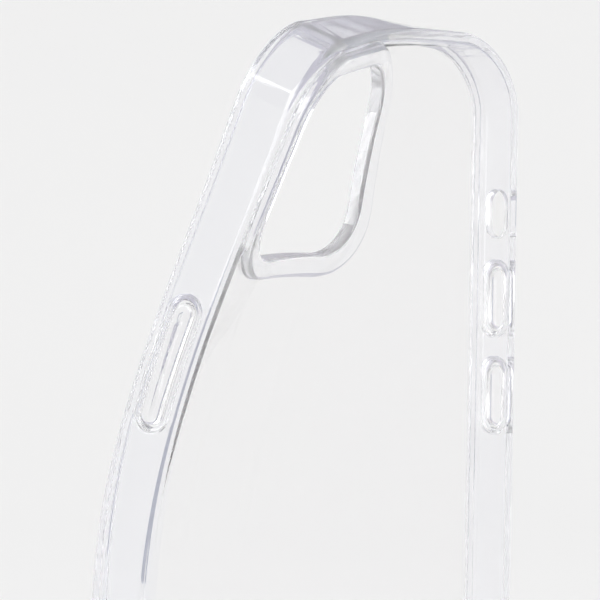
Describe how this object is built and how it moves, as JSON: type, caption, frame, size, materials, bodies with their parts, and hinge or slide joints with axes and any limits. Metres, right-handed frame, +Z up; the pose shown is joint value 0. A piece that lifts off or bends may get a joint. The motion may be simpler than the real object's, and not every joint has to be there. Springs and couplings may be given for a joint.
{
  "type": "phone case",
  "caption": "Clear flexible phone case with raised screen lip, framed camera opening and push covers, its top left corner peeled back along a diagonal fold.",
  "frame": {"origin": "middle of the back panel's inner face, where the phone's back sits", "axes": "+X to the right as seen from behind, +Y out of the back towards the screen, +Z up towards the camera end"},
  "size_m": [0.0791, 0.0347, 0.1536],
  "materials": {
    "clear_panel": "clear soft plastic, glossy",
    "clear_frame": "clear soft plastic, glossy, with a faint cool tint where it is thick",
    "clear_cover": "clear soft plastic, satin on the pressed face"
  },
  "bodies": {
    "held_shell": {"back_panel_lower": "clear_panel", "bottom_left_corner": "clear_frame", "bottom_wall": "clear_frame", "bottom_right_corner": "clear_frame", "right_wall": "clear_frame", "top_right_corner_side_half": "clear_frame", "left_wall_lower": "clear_frame", "volume_up_web": "clear_cover", "volume_down_web": "clear_cover"},
    "button_section": {"left_wall_button_section": "clear_frame", "side_button_web": "clear_cover"},
    "peeled_corner": {"back_panel_upper": "clear_panel", "camera_rim": "clear_frame", "left_wall_upper": "clear_frame", "top_left_corner": "clear_frame", "top_wall": "clear_frame", "top_right_corner_top_half": "clear_frame"},
    "side_button": {"side_button_cover": "clear_cover"},
    "volume_up": {"volume_up_cover": "clear_cover"},
    "volume_down": {"volume_down_cover": "clear_cover"}
  },
  "joints": [
    {"name": "corner_peel", "type": "hinge", "parent": "held_shell", "child": "peeled_corner", "pos_m": [0.0244, -0.0036, 0.06205], "axis": [0.7314, 0, 0.682], "range_deg": [-32, 12]},
    {"name": "button_section_bend", "type": "hinge", "parent": "held_shell", "child": "button_section", "pos_m": [-0.0208, -0.0032, 0.0205], "axis": [0.7431, 0, 0.6691], "range_deg": [-30.1, 11.35]},
    {"name": "side_button_press", "type": "slide", "parent": "button_section", "child": "side_button", "axis": [0.94, 0.3346, 0.0666], "range_m": [0, 0.0004], "stiffness_N_per_m": 1000},
    {"name": "volume_up_press", "type": "slide", "parent": "held_shell", "child": "volume_up", "axis": [-1, 0, 0], "range_m": [0, 0.0004], "stiffness_N_per_m": 1000},
    {"name": "volume_down_press", "type": "slide", "parent": "held_shell", "child": "volume_down", "axis": [-1, 0, 0], "range_m": [0, 0.0004], "stiffness_N_per_m": 1000}
  ],
  "couplings": [
    {"joint": "button_section_bend", "follows": "corner_peel", "ratio": 0.9375}
  ]
}
